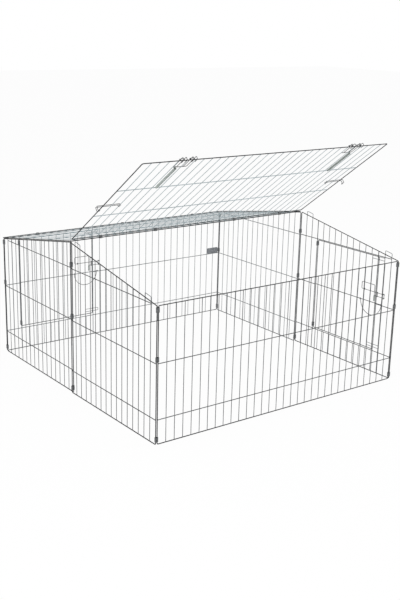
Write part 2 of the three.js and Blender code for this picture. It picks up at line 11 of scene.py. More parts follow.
import bpy
import bmesh
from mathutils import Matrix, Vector


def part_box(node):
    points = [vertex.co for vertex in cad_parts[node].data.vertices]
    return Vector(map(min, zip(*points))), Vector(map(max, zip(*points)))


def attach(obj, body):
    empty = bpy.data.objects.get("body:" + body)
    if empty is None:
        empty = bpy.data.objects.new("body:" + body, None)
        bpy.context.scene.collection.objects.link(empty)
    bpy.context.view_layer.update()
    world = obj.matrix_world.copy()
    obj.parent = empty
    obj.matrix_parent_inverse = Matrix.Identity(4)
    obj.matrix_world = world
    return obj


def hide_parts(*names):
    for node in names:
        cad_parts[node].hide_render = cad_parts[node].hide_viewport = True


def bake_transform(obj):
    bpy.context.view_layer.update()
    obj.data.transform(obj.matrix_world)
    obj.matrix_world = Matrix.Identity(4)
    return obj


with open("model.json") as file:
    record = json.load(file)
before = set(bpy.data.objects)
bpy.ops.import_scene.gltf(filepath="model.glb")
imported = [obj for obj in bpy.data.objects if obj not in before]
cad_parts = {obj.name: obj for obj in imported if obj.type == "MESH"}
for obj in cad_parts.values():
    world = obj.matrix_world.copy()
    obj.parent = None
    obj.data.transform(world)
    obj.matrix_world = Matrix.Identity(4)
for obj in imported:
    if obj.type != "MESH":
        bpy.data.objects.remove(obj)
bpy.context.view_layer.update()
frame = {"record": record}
BODY_OF = {
    node: body
    for body, nodes in frame["record"]["behaviour"]["bodies"].items()
    for node in nodes
}

# %% [markdown]
# ## Sizes
# Blender counts in metres, so the millimetres of the drawing are multiplied once, here. Whatever
# can be worked out from the frame is, such as the place of the front panel. The wires are round in
# this scene and square in the frame, so the gauges below are chosen to fill the same space.

# %% Sizes of the wires and panels
MM = 0.001
PITCH = 36 * MM  # from one upright to the next
WALL_BAYS, GABLE_BAYS = 32, 16
FRAME_WIRE = 3.6 * MM
CROSS_WIRE = 3.2 * MM
MESH_WIRE = 2.4 * MM
MESH_DEPTH = 3.2 * MM  # of a whole panel
FRAME_BEND = 5 * MM  # of a frame wire, at its corners
SEAT = 0.2 * MM  # by which the crown of a wall is lowered, so that the roof clears it
GAP = 0.3 * MM  # between pieces that lie on each other
TURN_GAP = 0.1 * MM  # between pieces that turn past each other
LAY = -0.4 * MM  # uprights lie a little to the inside, against the cross wires
QUARTER = math.pi / 2  # a quarter turn

FOOT, LOW_RAIL, MIDDLE_RAIL = FRAME_WIRE / 2, 92 * MM, 296 * MM
EAVE, RIDGE = 500 * MM, 600 * MM
HINGE_STEP = 6 * MM  # from one wire of a hinge to the other
WALL_LENGTH, GABLE_LENGTH = WALL_BAYS * PITCH, GABLE_BAYS * PITCH
FOLD_X = WALL_LENGTH / 2
print(f"walls {WALL_LENGTH:.3f} m and gables {GABLE_LENGTH:.3f} m long")

# %% [markdown]
# The walls are placed from the front panel, which is where the frame has it. The roof rests on the
# back wall and the gables, so its height follows from its slope and from the room that a square
# wire needs to turn past another. The lid hinges one step above the roof's ridge wire and is just
# long enough to come down on the front panel.

# %% Places of the walls and the slopes
low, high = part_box("front_panel")
FRONT_Y = (low.y + high.y) / 2
RIDGE_Y = FRONT_Y + GABLE_LENGTH
BACK_Y = RIDGE_Y + GABLE_LENGTH + HINGE_STEP
OVERHANG = 5.4 * MM  # of the roof's rear wire behind the back panel
SLOPE = (RIDGE - EAVE) / (HINGE_STEP + GABLE_LENGTH)
ROOF_ANGLE = math.atan(SLOPE)
CORNER_REACH = math.hypot(CROSS_WIRE, MESH_DEPTH) / 2  # half the diagonal of a square wire
ROOF_RISE = (MESH_DEPTH / 2 + CORNER_REACH + TURN_GAP) / math.cos(ROOF_ANGLE)
EAVE_WIRE = Vector((0, BACK_Y + OVERHANG, EAVE + ROOF_RISE - SLOPE * OVERHANG))
RIDGE_WIRE = Vector((0, RIDGE_Y, EAVE + ROOF_RISE + SLOPE * (BACK_Y - RIDGE_Y)))
LID_WIRE = RIDGE_WIRE + Vector((0, 0, HINGE_STEP))
ROOF_LENGTH = (RIDGE_WIRE - EAVE_WIRE).length
LID_ANGLE = math.radians(36)
LID_SEAT = EAVE + CROSS_WIRE / 2 + GAP + CORNER_REACH
LID_LENGTH = math.hypot(GABLE_LENGTH, LID_WIRE.z - LID_SEAT)
print(f"roof {ROOF_LENGTH:.4f} m and lid {LID_LENGTH:.4f} m up the slope")

# %% [markdown]
# ## Tools of the workshop
# A few small tools are used everywhere. Two select exactly what the next operator is to work on,
# one among objects and one among the faces or edges of a mesh. The others press an object's place
# into its mesh, so that patterns don't slide, shade what is round as round, and weld pieces into
# one.

# %% Select, settle, smooth, join
SMOOTH_BELOW = math.radians(50)  # an edge that turns by less is shaded smooth


def only(*objects):
    bpy.ops.object.select_all(action="DESELECT")
    for obj in objects:
        obj.select_set(True)
    bpy.context.view_layer.objects.active = objects[0]


def pick(obj, kind, wanted):
    """Selects the faces or edges that are wanted, in edit mode."""
    bpy.ops.mesh.select_all(action="DESELECT")
    mesh = bmesh.from_edit_mesh(obj.data)
    for part in getattr(mesh, kind):
        part.select = wanted(part)
    bmesh.update_edit_mesh(obj.data)


def settle(obj, location=(0, 0, 0), rotation=(0, 0, 0)):
    only(obj)
    if any(location) or any(rotation):
        obj.location, obj.rotation_euler = location, rotation
    bpy.ops.object.transform_apply(location=True, rotation=True, scale=True)
    return obj


def smooth(obj):
    only(obj)
    bpy.ops.object.shade_smooth_by_angle(angle=SMOOTH_BELOW)
    return obj


def join(name, parts):
    only(*parts)
    bpy.ops.object.join()
    whole = bpy.context.object
    whole.name = whole.data.name = name
    return smooth(whole)


# %% [markdown]
# A straight wire is a disc drawn out to its length. It could be a cylinder primitive, but a disc
# that is extruded starts exactly at one point and ends at another, which is how a drawing gives a
# wire. Eight sides are enough for a wire that is a pixel or two wide.

# %% A straight wire
WIRE_SIDES = 8
SAME_POINT = 0.01 * MM  # points nearer than this are one


def tidy_mesh(obj):
    """Closes a mesh and turns its faces outwards."""
    only(obj)
    bpy.ops.object.mode_set(mode="EDIT")
    bpy.ops.mesh.select_all(action="SELECT")
    bpy.ops.mesh.remove_doubles(threshold=SAME_POINT)
    bpy.ops.mesh.fill_holes(sides=0)
    bpy.ops.mesh.select_all(action="SELECT")
    bpy.ops.mesh.normals_make_consistent(inside=False)
    bpy.ops.object.mode_set(mode="OBJECT")
    return obj


def wire(start, end, gauge, finish):
    start, run = Vector(start), Vector(end) - Vector(start)
    bpy.ops.mesh.primitive_circle_add(
        vertices=WIRE_SIDES,
        radius=gauge / 2,
        fill_type="NGON",
        location=start,
        rotation=run.to_track_quat("Z", "Y").to_euler(),
    )
    obj = settle(bpy.context.object)
    bpy.ops.object.mode_set(mode="EDIT")
    bpy.ops.mesh.select_all(action="SELECT")
    bpy.ops.mesh.extrude_region_move(TRANSFORM_OT_translate={"value": run})
    bpy.ops.object.mode_set(mode="OBJECT")
    obj.data.materials.append(finish)
    return tidy_mesh(obj)


def repeat(obj, count, step):
    """A row of copies, each a step on from the last."""
    only(obj)
    row = obj.modifiers.new("row", "ARRAY")
    row.count = count
    row.use_relative_offset, row.use_constant_offset = False, True
    row.constant_offset_displace = step
    bpy.ops.object.modifier_apply(modifier=row.name)
    return obj


# %% [markdown]
# A bent wire starts as one point that is extruded from corner to corner. A vertex bevel turns each
# corner into a bend, and the line becomes a curve just long enough to be given its thickness. A
# curve drawn by hand would do as well, but here each corner sits where the drawing has it.

# %% A bent wire
SAME_CORNER = 0.1 * MM
BEND_STEPS = 3
WIRE_BEND = 3 * MM  # of a thin wire, where nothing else is said


def bent_wire(corners, gauge, bend, finish, closed=False):
    corners = [Vector(c) for c in corners]
    bpy.ops.mesh.primitive_plane_add(size=gauge, location=corners[0])
    obj = settle(bpy.context.object)
    bpy.ops.object.mode_set(mode="EDIT")
    bpy.ops.mesh.select_all(action="SELECT")
    bpy.ops.mesh.merge(type="CENTER")
    for here, there in zip(corners, corners[1:] + corners[:1] * closed):
        bpy.ops.mesh.extrude_region_move(TRANSFORM_OT_translate={"value": there - here})
    bpy.ops.mesh.select_all(action="SELECT")
    bpy.ops.mesh.remove_doubles(threshold=SAME_CORNER)
    mesh = bmesh.from_edit_mesh(obj.data)
    for vertex in mesh.verts:
        vertex.select = len(vertex.link_edges) == 2
    mesh.select_flush(True)
    bmesh.update_edit_mesh(obj.data)
    bpy.ops.mesh.bevel(offset=bend, segments=BEND_STEPS, affect="VERTICES")
    bpy.ops.object.mode_set(mode="OBJECT")
    bpy.ops.object.convert(target="CURVE")
    curve = bpy.context.object.data
    curve.bevel_depth, curve.use_fill_caps = gauge / 2, True
    curve.bevel_resolution = WIRE_SIDES // 2 - 2  # which gives as many sides as a straight wire has
    bpy.ops.object.convert(target="MESH")
    obj = bpy.context.object
    obj.data.materials.clear()
    obj.data.materials.append(finish)
    return tidy_mesh(obj)


# %% [markdown]
# A coil is a small ring carried round and along an axis by the Screw modifier. An eye is a torus,
# added round the wire on which it turns. Coils have hundreds of turns between them, so their wire
# has only six sides.

# %% A coil and an eye
COIL_SIDES, EYE_STEPS = 6, 16


def coil(centre, radius, gauge, turns, length, finish, steps):
    """A coil that rises from centre along Z, with so many steps to a turn."""
    bpy.ops.mesh.primitive_circle_add(
        vertices=COIL_SIDES, radius=gauge / 2, location=(radius, 0, 0), rotation=(QUARTER, 0, 0)
    )
    obj = settle(bpy.context.object)
    screw = obj.modifiers.new("turns", "SCREW")
    screw.steps = screw.render_steps = steps
    screw.iterations, screw.screw_offset = turns, length / turns
    bpy.ops.object.modifier_apply(modifier=screw.name)
    obj.data.materials.append(finish)
    return settle(tidy_mesh(obj), location=centre)


def eye(centre, axis, radius, gauge, finish):
    bpy.ops.mesh.primitive_torus_add(
        major_segments=EYE_STEPS,
        minor_segments=WIRE_SIDES,
        major_radius=radius,
        minor_radius=gauge / 2,
        location=centre,
        rotation=Vector(axis).to_track_quat("Z", "Y").to_euler(),
    )
    obj = settle(bpy.context.object)
    obj.data.materials.append(finish)
    return obj


# %% [markdown]
# ## Zinc
# Almost everything on the run is steel wire dipped in zinc. New zinc is a pale blue-grey metal that
# is brighter on some wires than on others, with crystals that catch the light one by one, and it
# dulls to a darker grey where it lies thick. Two patterns on object coordinates give that: a broad
# cloud that changes the tone along a wire, and small cells for the crystals. The same patterns move
# the roughness, and a fine grain raises the surface. One function makes every finish, from its
# dullest and its brightest tone and the range of its roughness.

# %% A zinc finish
METAL = 0.85  # a little less than bare metal, for the dull skin on old zinc
CRYSTAL_SHARE = 0.35  # of the crystals in the tone, beside the clouds
DULL_BELOW, BRIGHT_ABOVE = 0.3, 0.7  # of the mixed pattern
GRAINS_PER_CRYSTAL, GRAIN_STRENGTH, GRAIN_HEIGHT = 6, 0.15, 0.1 * MM


def zinc(name, dull, bright, roughness, cloud=9, crystal=260):
    material = bpy.data.materials.new(name)
    material.use_nodes = True
    tree = material.node_tree
    shader = tree.nodes["Principled BSDF"]
    shader.inputs["Metallic"].default_value = METAL
    spot = tree.nodes.new("ShaderNodeTexCoord").outputs["Object"]

    def pattern(kind, scale, **inputs):
        node = tree.nodes.new(kind)
        tree.links.new(spot, node.inputs["Vector"])
        node.inputs["Scale"].default_value = scale
        for label, value in inputs.items():
            node.inputs[label].default_value = value
        return node

    clouds = pattern("ShaderNodeTexNoise", cloud, Detail=3)
    cells = pattern("ShaderNodeTexVoronoi", crystal)
    grains = pattern("ShaderNodeTexNoise", GRAINS_PER_CRYSTAL * crystal, Detail=2)
    parted = tree.nodes.new("ShaderNodeSeparateColor")
    tree.links.new(cells.outputs["Color"], parted.inputs["Color"])
    both = tree.nodes.new("ShaderNodeMix")
    both.inputs["Factor"].default_value = CRYSTAL_SHARE
    tree.links.new(clouds.outputs["Fac"], both.inputs["A"])
    tree.links.new(parted.outputs["Red"], both.inputs["B"])
    tones = tree.nodes.new("ShaderNodeValToRGB")
    lowest, highest = tones.color_ramp.elements
    lowest.position, highest.position = DULL_BELOW, BRIGHT_ABOVE
    lowest.color, highest.color = (*dull, 1), (*bright, 1)
    tree.links.new(both.outputs["Result"], tones.inputs["Fac"])
    tree.links.new(tones.outputs["Color"], shader.inputs["Base Color"])
    sheen = tree.nodes.new("ShaderNodeMapRange")
    sheen.inputs["To Min"].default_value, sheen.inputs["To Max"].default_value = roughness
    tree.links.new(both.outputs["Result"], sheen.inputs["Value"])
    tree.links.new(sheen.outputs["Result"], shader.inputs["Roughness"])
    bump = tree.nodes.new("ShaderNodeBump")
    bump.inputs["Strength"].default_value = GRAIN_STRENGTH
    bump.inputs["Distance"].default_value = GRAIN_HEIGHT
    tree.links.new(grains.outputs["Fac"], bump.inputs["Height"])
    tree.links.new(bump.outputs["Normal"], shader.inputs["Normal"])
    return material


# %% [markdown]
# The zinc is the same on every wire, but the panels aren't given one tone. The frame wires are
# painted darkest, as painted shade and painted dark reflection. The roof and the lid are painted
# palest, as painted light from above, and bluest. The back panel, its door and the right rear gable
# are painted paler than the other walls, as painted light, and the other walls carry painted shade.
# The bolts, bails and latches are smoother, the sleeves are dull, and the plate is sheet, on which
# the crystals grow larger.

# %% The finishes
MESH_ZINC = zinc("mesh_zinc", (0.17, 0.185, 0.19), (0.3, 0.32, 0.33), (0.32, 0.5))
# Painted shade: a darker copy of the mesh zinc, for the inner wires of the walls that carry shade.
MESH_PAINTED_SHADE = zinc("painted_shade_mesh_wire", (0.06, 0.064, 0.067), (0.16, 0.168, 0.172), (0.35, 0.55))
# Painted light from above: the wires of the roof and the lid are made paler than the walls' wires.
ROOF_PAINTED_TOP_LIGHT = zinc("painted_top_light_roof_wire", (0.33, 0.39, 0.41), (0.52, 0.6, 0.63), (0.3, 0.48))
# Painted shade and painted dark reflection: the frame wires are made near black.
FRAME_PAINTED_SHADE = zinc("painted_shade_frame_wire", (0.012, 0.013, 0.015), (0.05, 0.053, 0.056), (0.4, 0.6))
# Painted light: a paler copy of the frame zinc, for the back panel, the right rear gable and the
# doors.
FRAME_PAINTED_LIGHT = zinc("painted_light_frame_wire", (0.05, 0.054, 0.058), (0.16, 0.168, 0.174), (0.35, 0.55))
BRIGHT_ZINC = zinc("bright_zinc", (0.04, 0.043, 0.046), (0.13, 0.136, 0.14), (0.25, 0.4))
CLIP_ZINC = zinc("clip_zinc", (0.09, 0.094, 0.098), (0.22, 0.228, 0.235), (0.4, 0.6))
SPRING_STEEL = zinc("spring_steel", (0.32, 0.36, 0.34), (0.48, 0.52, 0.5), (0.3, 0.5))
SHEET_ZINC = zinc("sheet_zinc", (0.2, 0.21, 0.23), (0.32, 0.335, 0.35), (0.3, 0.55), 12, 140)
# The two pairs carry painted shade and painted light, the frame's finish first.
PAINTED_SHADE_PAIR = (FRAME_PAINTED_SHADE, MESH_PAINTED_SHADE)  # of the frame wire, and of the wires inside it
PAINTED_LIGHT_PAIR = (FRAME_PAINTED_LIGHT, MESH_ZINC)
print(len(bpy.data.materials), "materials")

# %% [markdown]
# ## Giving a piece to the frame
# A finished piece stands in for its node and rides on that node's body.

# %% Hand over
def hand_over(piece, node):
    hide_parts(node)
    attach(piece, BODY_OF[node])
    print(f"{piece.name}: {len(piece.data.polygons)} faces for {node}")


# %% [markdown]
# ## Panels
# Every panel is made the way the real one is: a frame wire bent round four corners, a rank of thin
# uprights, and a few thicker cross wires over them. One upright is drawn and the Array modifier
# sets out the rest. Under a sloping edge the uprights are made too long and cut off along the
# slope, as a maker would with shears. A panel is drawn flat, with X along it and Z up it, and then
# turned into its place.

# %% Frame, ranks and cross wires
def rank(first, last, low, high, finish):
    """Thin uprights from number first to number last."""
    upright = wire((first * PITCH, LAY, low), (first * PITCH, LAY, high), MESH_WIRE, finish)
    return repeat(upright, last - first + 1, (PITCH, 0, 0))


def cut_to_slope(obj, start, end):
    """Cuts off what stands above the line from start to end, both in XZ."""
    along = Vector((end[0] - start[0], 0, end[1] - start[1]))
    only(obj)
    bpy.ops.object.mode_set(mode="EDIT")
    bpy.ops.mesh.select_all(action="SELECT")
    bpy.ops.mesh.bisect(
        plane_co=(start[0], 0, start[1]),
        plane_no=(-along.z, 0, along.x),
        use_fill=True,
        clear_outer=True,
    )
    bpy.ops.object.mode_set(mode="OBJECT")


def frame_wire(width, foot, left, right, gauge, finish):
    corners = [(0, 0, foot), (width, 0, foot), (width, 0, right), (0, 0, left)]
    return bent_wire(corners, gauge, FRAME_BEND, finish, closed=True)


def cross_wires(spans, finish):
    """One wire for each (from, to, height), where from and to count uprights."""
    return [wire((a * PITCH, 0, z), (b * PITCH, 0, z), CROSS_WIRE, finish) for a, b, z in spans]


# %% [markdown]
# A door is set in the right front gable and another in the back panel, each ten bays wide. Beside
# a door the uprights are thicker. Between them the thin ones stop at the low cross wire and, in the
# gable, start again at the eave, and the middle cross wire is left out.

# %% A wall with or without a doorway
DOOR_BAYS = 10


def wall(bays, left, right, lit_or_shaded, spans=(), door=None):
    """A wall that is left high at its start and right high at its end."""
    edges, inner = lit_or_shaded
    # The pair gives the frame and the inner wires painted shade or painted light.
    width, top = bays * PITCH, max(left, right)
    spans = [*spans, (0, bays, LOW_RAIL)]
    if door is None:
        runs, jambs = [(1, bays - 1, FOOT, top)], ()
        spans.append((0, bays, MIDDLE_RAIL))
    else:
        free = door + DOOR_BAYS
        runs = [(1, door - 1, FOOT, top), (free + 1, bays - 1, FOOT, top)]
        runs.append((door + 1, free - 1, FOOT, LOW_RAIL))
        if top > EAVE:
            runs.append((door + 1, free - 1, EAVE, top))
        jambs = (door, free)
        spans += [(0, door, MIDDLE_RAIL), (free, bays, MIDDLE_RAIL)]
    uprights = [rank(*run, inner) for run in runs]
    uprights += [wire((x * PITCH, 0, FOOT), (x * PITCH, 0, top), CROSS_WIRE, inner) for x in jambs]
    if left != right:
        for part in uprights:
            cut_to_slope(part, (0, left), (width, right))
    edge = frame_wire(width, FOOT, left - SEAT, right - SEAT, FRAME_WIRE, edges)
    return [edge, *uprights, *cross_wires(spans, inner)]


# %% [markdown]
# A door's bolt slides in small wire staples. Two of them stand on the door, and the third, which
# keeps it shut, stands on the wall beside the door. Each is a U of thin wire welded on by its feet.

# %% Staples for the bolt
BOLT_LOW, BOLT_HIGH = MIDDLE_RAIL + 30 * MM, MIDDLE_RAIL + 45 * MM
BOLT_LIFT = MESH_DEPTH / 2 + GAP + MESH_WIRE / 2  # of a fitting's centre over the mesh
PLAY = 0.4 * MM  # between a staple and what slides in it
STAPLE_BEND = 1.2 * MM


def staple(x, y, low, high, reach):
    """A staple round wires from low to high, standing out from y to a bar at reach."""
    clear = MESH_WIRE + PLAY
    corners = [
        (x, y, low - clear),
        (x, reach, low - clear),
        (x, reach, high + clear),
        (x, y, high + clear),
    ]
    return bent_wire(corners, MESH_WIRE, STAPLE_BEND, BRIGHT_ZINC)


# %% [markdown]
# The back and the front panel are the longest, and are level all along. Each is welded up as one
# piece and then moved to its place, and the staple that keeps the back door shut is welded on too.

# %% The back and the front panel
BACK_DOOR, SIDE_DOOR = 2, 3  # uprights at which the doors hinge
KEEPER_REACH = HINGE_STEP + BOLT_LIFT + MESH_WIRE + PLAY


def keeper(door):
    return staple((door + DOOR_BAYS + 1) * PITCH, 0, BOLT_LOW, BOLT_HIGH, KEEPER_REACH)


BACK_PLACE = {"location": (-FOLD_X, BACK_Y, 0)}
FRONT_PLACE = {"location": (-FOLD_X, FRONT_Y, 0)}
# The back panel carries painted light and the front panel painted shade.
back_wall = wall(WALL_BAYS, EAVE, EAVE, PAINTED_LIGHT_PAIR, door=BACK_DOOR)
back = join("back_panel_wires", [*back_wall, keeper(BACK_DOOR)])
hand_over(settle(back, **BACK_PLACE), "back_panel")
front = join("front_panel_wires", wall(WALL_BAYS, EAVE, EAVE, PAINTED_SHADE_PAIR))
hand_over(settle(front, **FRONT_PLACE), "front_panel")

# %% [markdown]
# Each side is two gable panels hinged at the ridge. The rear one rises to the ridge and the front
# one falls from it. Above the eave a further cross wire runs as far as the slope leaves room for
# it. On each front gable stand two small wire loops, between which the lid's edge comes down.

# %% The four gables
SIDES = {"left": -1, "right": 1}
REAR_FOOT = EAVE + SLOPE * HINGE_STEP  # of the rear gable's slope
HOOP_RISE = 16 * MM
HOOPS = ((1, 2), (14, 15))  # uprights on which the loops stand


def hoop(first, last):
    def crown(x):
        return RIDGE - (RIDGE - EAVE) * x / GABLE_LENGTH

    a, b = first * PITCH, last * PITCH
    corners = [
        (a, 0, crown(a)),
        (a, 0, crown(a) + HOOP_RISE),
        (b, 0, crown(b) + HOOP_RISE),
        (b, 0, crown(b)),
    ]
    return bent_wire(corners, MESH_WIRE, WIRE_BEND, MESH_ZINC)


def side_place(x, y):
    return {"location": (x, y, 0), "rotation": (0, 0, -QUARTER)}


for side, sign in SIDES.items():
    # The right rear gable carries painted light, the left one painted shade, and both front gables
    # painted shade.
    lit_or_shaded = PAINTED_LIGHT_PAIR if side == "right" else PAINTED_SHADE_PAIR
    parts = wall(GABLE_BAYS, REAR_FOOT, RIDGE, lit_or_shaded, [(1, GABLE_BAYS, EAVE)])
    rear = join(f"{side}_rear_gable_wires", parts)
    settle(rear, **side_place(sign * FOLD_X, BACK_Y - HINGE_STEP))
    hand_over(rear, f"{side}_rear_gable")
    door = SIDE_DOOR if side == "right" else None
    parts = wall(GABLE_BAYS, RIDGE, EAVE, PAINTED_SHADE_PAIR, [(0, GABLE_BAYS - 1, EAVE)], door)
    parts += [hoop(first, last) for first, last in HOOPS]
    if door:
        parts.append(keeper(door))
    gable = join(f"{side}_front_gable_wires", parts)
    settle(gable, **side_place(sign * (FOLD_X + HINGE_STEP), RIDGE_Y))
    hand_over(gable, f"{side}_front_gable")

# %% [markdown]
# ## Roof and lid
# Both are plain rectangles with three rows of openings. They are drawn standing, as the walls are,
# and then laid back to their slope. On the lid's free edge stand the staples that guide the tines
# of its two latches.

# %% Roof and lid panels
ROWS = 3
LATCH_BAY, LATCH_SPAN = 4, 2 * PITCH
TINE_INSET, TINE_GAP = 8 * MM, 14 * MM
TINES = [  # how far in from the latch's outer end each tine is
    TINE_INSET,
    TINE_INSET + TINE_GAP,
    LATCH_SPAN - TINE_INSET - TINE_GAP,
    LATCH_SPAN - TINE_INSET,
]


def latch_x(sign, inwards):
    """The place along X of what is so far in from a latch's outer end."""
    return sign * (FOLD_X - LATCH_BAY * PITCH - inwards)


def slope_panel(length):
    # The frame of the roof and the lid carries painted shade and painted dark reflection.
    edge = frame_wire(WALL_LENGTH, 0, length, length, FRAME_WIRE, FRAME_PAINTED_SHADE)
    spans = [(0, WALL_BAYS, length * row / ROWS) for row in range(1, ROWS)]
    # The wires of the roof and the lid carry painted light from above.
    parts = [edge, rank(1, WALL_BAYS - 1, 0, length, ROOF_PAINTED_TOP_LIGHT), *cross_wires(spans, ROOF_PAINTED_TOP_LIGHT)]
    return [settle(part, location=(-FOLD_X, 0, 0)) for part in parts]


def edge_staple(sign, first):
    """A staple round two neighbouring tines, of which the first is numbered from 0."""
    middle = latch_x(sign, (TINES[first] + TINES[first + 1]) / 2)
    half = TINE_GAP / 2 + MESH_WIRE + PLAY
    out = BOLT_LIFT + MESH_WIRE + PLAY
    corners = [(-half, 0, 0), (-half, out, 0), (half, out, 0), (half, 0, 0)]
    made = bent_wire(corners, MESH_WIRE, STAPLE_BEND, BRIGHT_ZINC)
    return settle(made, location=(middle, 0, LID_LENGTH))


def laid(angle, place):
    """Where a panel that was drawn standing goes, and how far back it is laid."""
    return {"location": place, "rotation": (QUARTER - angle, 0, 0)}


ROOF_PLACE = laid(ROOF_ANGLE, EAVE_WIRE)
LID_PLACE = laid(LID_ANGLE, LID_WIRE)
roof = join("roof_panel_wires", slope_panel(ROOF_LENGTH))
hand_over(settle(roof, **ROOF_PLACE), "roof_panel")
staples = [edge_staple(sign, first) for sign in SIDES.values() for first in (0, 2)]
lid = join("lid_panel_wires", slope_panel(LID_LENGTH) + staples)
hand_over(settle(lid, **LID_PLACE), "lid_panel")

# %% [markdown]
# ## Doors
# A door leaf is a smaller panel, six millimetres outside its wall. Wire loops stand past its free
# edge and lap over the wall, the middle cross wire runs on to carry the bail, and two staples hold
# the bolt.

# %% The door leaves
LEAF_SPAN = {  # heights of a leaf's lower and upper edge wire
    "back_door": (LOW_RAIL + 8 * MM, EAVE - 12 * MM),
    "side_door": (LOW_RAIL + 4 * MM, EAVE - 6 * MM),
}
CATCH_REACH, CATCH_GAP, CATCH_RISE = 30 * MM, 12 * MM, 10 * MM
BAIL_REACH, RAIL_END = 26 * MM, 6 * MM
LEAF_REACH = BOLT_LIFT + MESH_WIRE + PLAY
GUIDE_BAYS = 2  # from a leaf's free edge to its inner staple


def catch(free, low):
    """A loop that stands past a leaf's free edge, with its lower wire at low."""
    root, tip = free - PITCH, free + CATCH_REACH
    corners = [(root, -LAY, low), (tip, -LAY, low)]
    corners += [(x, y, low + CATCH_GAP) for x, y, _ in reversed(corners)]
    return bent_wire(corners, MESH_WIRE, WIRE_BEND, MESH_ZINC)


def leaf(door, foot, head, lit_or_shaded):
    edges, inner = lit_or_shaded
    hinge, free = door * PITCH, (door + DOOR_BAYS) * PITCH
    edge = frame_wire(free - hinge, foot, head, head, CROSS_WIRE, edges)
    parts = [settle(edge, location=(hinge, 0, 0))]
    parts.append(rank(door + 1, door + DOOR_BAYS - 1, foot, head, inner))
    rail_tip = (free + BAIL_REACH + RAIL_END, 0, MIDDLE_RAIL)
    parts.append(wire((hinge, 0, MIDDLE_RAIL), rail_tip, CROSS_WIRE, inner))
    parts += [catch(free, foot + CATCH_RISE), catch(free, head - CATCH_GAP)]
    parts.append(staple(free, 0, BOLT_LOW, BOLT_HIGH, LEAF_REACH))
    parts.append(staple(free - GUIDE_BAYS * PITCH, 0, BOLT_HIGH, BOLT_HIGH, LEAF_REACH))
    return [settle(part, location=(0, HINGE_STEP, 0)) for part in parts]


SIDE_WALL = side_place(FOLD_X + HINGE_STEP, RIDGE_Y)
DOORS = {"back_door": (BACK_DOOR, BACK_PLACE), "side_door": (SIDE_DOOR, SIDE_WALL)}
# The back door's leaf carries painted light; the side door's leaf has a frame with painted light
# and inner wires with painted shade.
LEAF_LIGHT_AND_SHADE = {"back_door": PAINTED_LIGHT_PAIR, "side_door": (FRAME_PAINTED_LIGHT, MESH_PAINTED_SHADE)}
for node, (door, place) in DOORS.items():
    made = join(f"{node}_leaf", leaf(door, *LEAF_SPAN[node], LEAF_LIGHT_AND_SHADE[node]))
    hand_over(settle(made, **place), node)

# %% [markdown]
# ## Bolts
# A bolt is one length of bright wire: in along the lower prong, up and round the finger loop, and
# out again along the upper prong. Below the loop hangs a grip of thinner wire wound tightly round
# the end, which is a coil with no room between its turns.

# %% The bolts
PRONG_REACH, LOOP_SETBACK, LOOP_LENGTH, LOOP_HEIGHT = 42 * MM, 15 * MM, 72 * MM, 30 * MM
BOLT_BEND = 4 * MM
GRIP_WIDTH, GRIP_LENGTH, GRIP_WIRE, GRIP_STEPS = 6 * MM, 24 * MM, 1.4 * MM, 10
STEM_WIRE, STEM_LAP = 2 * MM, 3 * MM  # of the straight wire inside a grip


def bolt(door):
    free = (door + DOOR_BAYS) * PITCH
    near, tip = free - LOOP_SETBACK, free + PRONG_REACH
    far, crown = near - LOOP_LENGTH, BOLT_HIGH + LOOP_HEIGHT
    out = HINGE_STEP + BOLT_LIFT
    path = [(tip, BOLT_LOW), (near, BOLT_LOW), (near, crown)]
    path += [(far, crown), (far, BOLT_HIGH), (tip, BOLT_HIGH)]
    loop = bent_wire([(x, out, z) for x, z in path], MESH_WIRE, BOLT_BEND, BRIGHT_ZINC)
    foot = (near, out, BOLT_LOW - GRIP_LENGTH)
    stem = wire((near, out, BOLT_LOW + STEM_LAP), foot, STEM_WIRE, BRIGHT_ZINC)
    turns = round(GRIP_LENGTH / GRIP_WIRE)
    radius = (GRIP_WIDTH - GRIP_WIRE) / 2
    grip = coil(foot, radius, GRIP_WIRE, turns, GRIP_LENGTH, SPRING_STEEL, GRIP_STEPS)
    return [loop, stem, grip]


for node, (door, place) in DOORS.items():
    made = settle(join(f"{node}_bolt_wire", bolt(door)), **place)
    hand_over(made, f"{node}_bolt")

# %% [markdown]
# ## Bails
# The handle below a bolt is a half circle of wire that swings on two eyes on the middle cross
# wire. Spinning a small ring half way round a centre draws the half circle in one step.

# %% The bails
EYE_RADIUS, EYE_WIRE, EYE_OUT = 3.3 * MM, 1.6 * MM, 3.8 * MM
BAIL_BAYS = 2.5  # from a leaf's free edge to the inner eye
BAIL_STEPS = 20  # in the half circle


def bail(door):
    free = (door + DOOR_BAYS) * PITCH
    inner, outer = free - BAIL_BAYS * PITCH, free + BAIL_REACH
    centre = Vector(((inner + outer) / 2, HINGE_STEP + EYE_OUT, MIDDLE_RAIL))
    bpy.ops.mesh.primitive_circle_add(
        vertices=WIRE_SIDES, radius=MESH_WIRE / 2, location=(inner, centre.y, centre.z)
    )
    arc = settle(bpy.context.object)
    bpy.ops.object.mode_set(mode="EDIT")
    bpy.ops.mesh.select_all(action="SELECT")
    bpy.ops.mesh.spin(steps=BAIL_STEPS, angle=math.pi, center=centre, axis=(0, 1, 0))
    bpy.ops.object.mode_set(mode="OBJECT")
    arc.data.materials.append(BRIGHT_ZINC)
    eyes = [
        eye((x, HINGE_STEP, MIDDLE_RAIL), (1, 0, 0), EYE_RADIUS, EYE_WIRE, BRIGHT_ZINC)
        for x in (inner, outer)
    ]
    return [tidy_mesh(arc), *eyes]


for node, (door, place) in DOORS.items():
    made = settle(join(f"{node}_bail_handle", bail(door)), **place)
    hand_over(made, f"{node}_bail")

